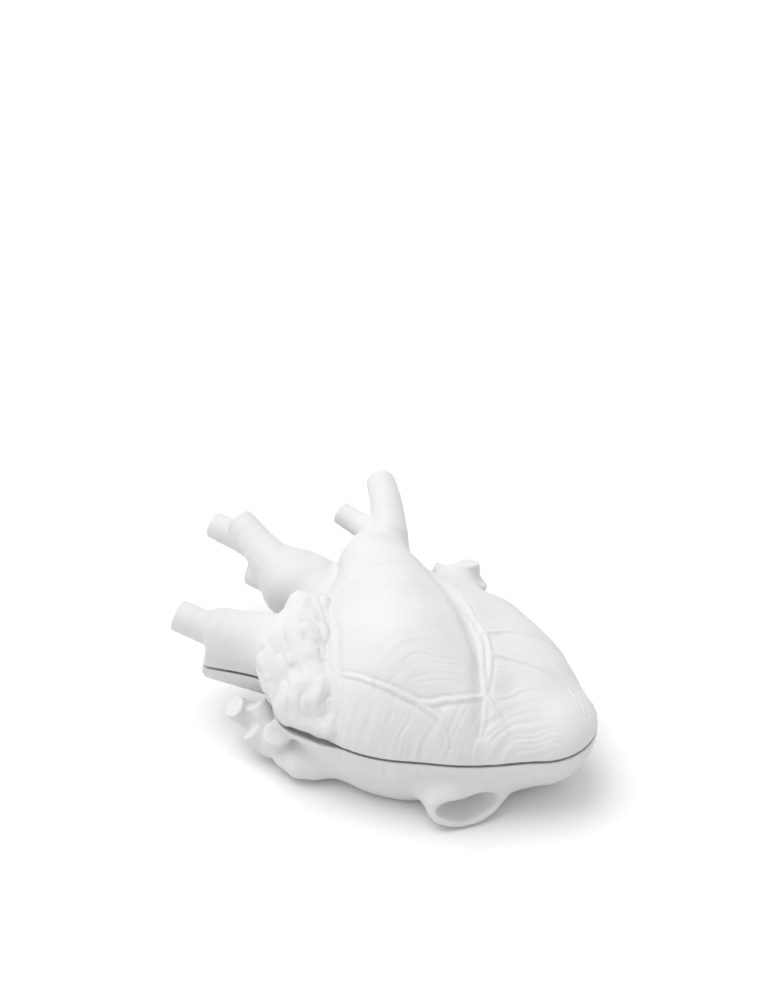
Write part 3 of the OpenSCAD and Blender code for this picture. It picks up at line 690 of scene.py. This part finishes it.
def makePorcelain():
    look = porcelainLook
    material, tree, shader = newFinish("bisquePorcelain", IOR=1.5, Specular_IOR_Level=0.38)
    cloud = grain(tree, look["cloudSize"], 4)
    tint = colourRamp(tree, cloud, (0.35, look["dark"]), (0.62, look["light"]))
    # painted shade at the joint: yellowish darker patches, strongest at the parting line and fading out a
    # few millimetres away from it
    place = tree.nodes.new("ShaderNodeTexCoord")
    split = tree.nodes.new("ShaderNodeSeparateXYZ")
    tree.links.new(place.outputs["Object"], split.inputs["Vector"])
    away = addMath(tree, "ABSOLUTE", addMath(tree, "SUBTRACT", split.outputs["Z"], float(partingZ * mm)))
    nearRim = spread(tree, away, 1, 0, 0, look["rimShadeReach"])
    patch = spread(tree, grain(tree, look["rimShadePatchSize"], 3), 0, look["rimShadeMost"], 0.52, 0.7)
    # the painted shade is mixed into the porcelain's colour here
    mix = tree.nodes.new("ShaderNodeMix")
    mix.data_type = "RGBA"
    tree.links.new(addMath(tree, "MULTIPLY", nearRim, patch), mix.inputs["Factor"])
    tree.links.new(tint, mix.inputs["A"])
    mix.inputs["B"].default_value = (*look["rimShadeTint"], 1)
    tree.links.new(mix.outputs["Result"], shader.inputs["Base Color"])
    tooth = grain(tree, look["toothSize"], 4, 0.6)
    tree.links.new(spread(tree, tooth, *look["roughness"]), shader.inputs["Roughness"])
    bumpFrom(tree, shader, tooth, look["toothDepth"])
    return material


def makeMetal(name, colour, dark, roughness, brush=(1, 1, 1), bump=0.00001, tarnish=26):
    material, tree, shader = newFinish(name, Metallic=1.0)
    cloud = grain(tree, tarnish, 4)
    tree.links.new(colourRamp(tree, cloud, (0.35, dark), (0.6, colour)), shader.inputs["Base Color"])
    scratch = grain(tree, 900, 5, 0.65, brush)
    uneven = spread(tree, scratch, roughness * 0.75, roughness * 1.25)
    tree.links.new(uneven, shader.inputs["Roughness"])
    bumpFrom(tree, shader, scratch, bump)
    return material


def makeSoft(name, colour, dark, scale, bump):
    material, tree, shader = newFinish(name, Roughness=0.95, Sheen_Weight=0.3, Sheen_Roughness=0.5)
    fuzz = grain(tree, scale, 6, 0.7)
    tree.links.new(colourRamp(tree, fuzz, (0.3, dark), (0.7, colour)), shader.inputs["Base Color"])
    bumpFrom(tree, shader, fuzz, bump)
    return material


# Angles in degrees; the camera stands at a distance in metres from a point of the heart in millimetres.
view = dict(azimuth=36.0, height=40.0, pitch=36.02, distance=1.15, lens=78.66, aim=(4.19, -5.75, 40.0))


def placeCamera():
    azimuth, height, pitch = [math.radians(view[k]) for k in ("azimuth", "height", "pitch")]
    sideways = Vector((math.sin(azimuth), -math.cos(azimuth), 0))
    data = bpy.data.cameras.new("camera")
    data.lens = view["lens"]
    data.sensor_width = 36
    data.clip_start = 0.05
    camera = bpy.data.objects.new("camera", data)
    back = sideways * math.cos(height) + Vector((0, 0, math.sin(height)))
    camera.location = Vector(view["aim"]) * mm + view["distance"] * back
    facing = sideways * math.cos(pitch) + Vector((0, 0, math.sin(pitch)))
    camera.rotation_euler = facing.to_track_quat("Z", "Y").to_euler()
    bpy.context.scene.collection.objects.link(camera)
    bpy.context.scene.camera = camera


# A soft key light, and a room that is brighter towards roomFrom
studio = dict(keyFrom=(-0.55, -0.12, 1.6), keyStrength=1.5, keySoftness=0.8,
              roomFrom=(-0.5, -0.1, 0.8), roomDim=0.42, roomBright=1.02)


def placeLights():
    data = bpy.data.lights.new("key", "SUN")
    data.energy = studio["keyStrength"]
    data.angle = studio["keySoftness"]
    light = bpy.data.objects.new("key", data)
    light.rotation_euler = Vector(studio["keyFrom"]).to_track_quat("Z", "Y").to_euler()
    bpy.context.scene.collection.objects.link(light)
    world = bpy.data.worlds.new("world")
    world.use_nodes = True
    tree = world.node_tree
    room = tree.nodes["Background"]
    room.inputs["Color"].default_value = (1, 1, 1, 1)
    place = tree.nodes.new("ShaderNodeTexCoord")
    facing = tree.nodes.new("ShaderNodeVectorMath")
    facing.operation = "DOT_PRODUCT"
    facing.inputs[1].default_value = Vector(studio["roomFrom"]).normalized()
    tree.links.new(place.outputs["Generated"], facing.inputs[0])
    strength = spread(tree, facing.outputs["Value"], studio["roomDim"], studio["roomBright"], -1, 1)
    tree.links.new(strength, room.inputs["Strength"])
    bpy.context.scene.world = world
    bpy.context.scene.view_settings.view_transform = "Standard"


floorLook = dict(reach=20, grey=0.83, roughness=0.85)


def layFloor():
    reach, grey = floorLook["reach"], floorLook["grey"]
    corners = [(a * reach, b * reach, 0) for a, b in ((-1, -1), (1, -1), (1, 1), (-1, 1))]
    mesh = bpy.data.meshes.new("floor")
    mesh.from_pydata(corners, [], [(0, 1, 2, 3)])
    floor = bpy.data.objects.new("floor", mesh)
    bpy.context.scene.collection.objects.link(floor)
    material = newFinish("paleFloor", Roughness=floorLook["roughness"], Base_Color=(grey, grey, grey, 1))[0]
    floor.data.materials.append(material)


placeCamera()
placeLights()
layFloor()
say("camera, lights and floor stand")

# The grid's step in millimetres sets how fine the relief comes out.
clay = dict(lidStep=0.78, baseStep=0.85)
porcelain = makePorcelain()
for node, body, shape, step in (("lid_shell", "lid", shapeLid, clay["lidStep"]),
                                ("base_shell", "base", shapeBase, clay["baseStep"])):
    piece = fireShell(shape(step), node.replace("_shell", "Porcelain"))
    piece.data.materials.append(porcelain)
    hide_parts(node)
    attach(piece, body)

# The movement keeps its own shapes; each material slot has one finish: light tone, dark tone, roughness,
# then the brushing, the bump and the tarnish's size where they matter.
finishes = {
    "steel": makeMetal("turnedSteel", (0.70, 0.71, 0.73), (0.52, 0.53, 0.55), 0.28, (1, 1, 8)),
    "comb_steel": makeMetal("groundSteel", (0.66, 0.67, 0.69), (0.50, 0.51, 0.53), 0.32, (14, 1, 1)),
    "spring_steel": makeMetal("bluedSteel", (0.20, 0.22, 0.30), (0.10, 0.11, 0.16), 0.30, (1, 1, 6)),
    "brass": makeMetal("lacqueredBrass", (0.78, 0.60, 0.28), (0.60, 0.44, 0.19), 0.26, (10, 1, 1)),
    "cast_zinc": makeMetal("castZinc", (0.50, 0.50, 0.49), (0.36, 0.36, 0.36), 0.50, bump=0.00006),
    "lead": makeMetal("dullLead", (0.26, 0.27, 0.29), (0.17, 0.18, 0.20), 0.62, bump=0.00005),
    "aluminium": makeMetal("rolledAluminium", (0.82, 0.83, 0.84), (0.66, 0.67, 0.69), 0.30, (12, 1, 1)),
    "felt": makeSoft("feltPad", (0.36, 0.33, 0.29), (0.20, 0.18, 0.16), 1500, 0.0003),
    "fibre": makeSoft("fibreWasher", (0.30, 0.13, 0.08), (0.19, 0.08, 0.05), 700, 0.00004),
}
slotOf = {part["node"]: part["material_slot"] for part in frame["record"]["subparts"]}

# Width in metres of each broken edge
brokenEdges = dict(bedplate=0.0003, governor_frame=0.0002, spring_housing=0.0004, winding_key=0.0002,
                   drive_wheel=0.0001, cylinder=0.0002, comb=0.00008, fixing_screws=0.0002,
                   stop_lever=0.0001)
for node, piece in frame["nodes"].items():
    if node in ("lid_shell", "base_shell"):
        continue
    piece.data.materials.clear()
    piece.data.materials.append(finishes[slotOf[node]])
    if node in brokenEdges:
        bevel = piece.modifiers.new("edge", "BEVEL")
        bevel.width = brokenEdges[node]
        bevel.segments = 2
        bevel.limit_method = "ANGLE"
        bevel.angle_limit = math.radians(40)
say("movement finished")
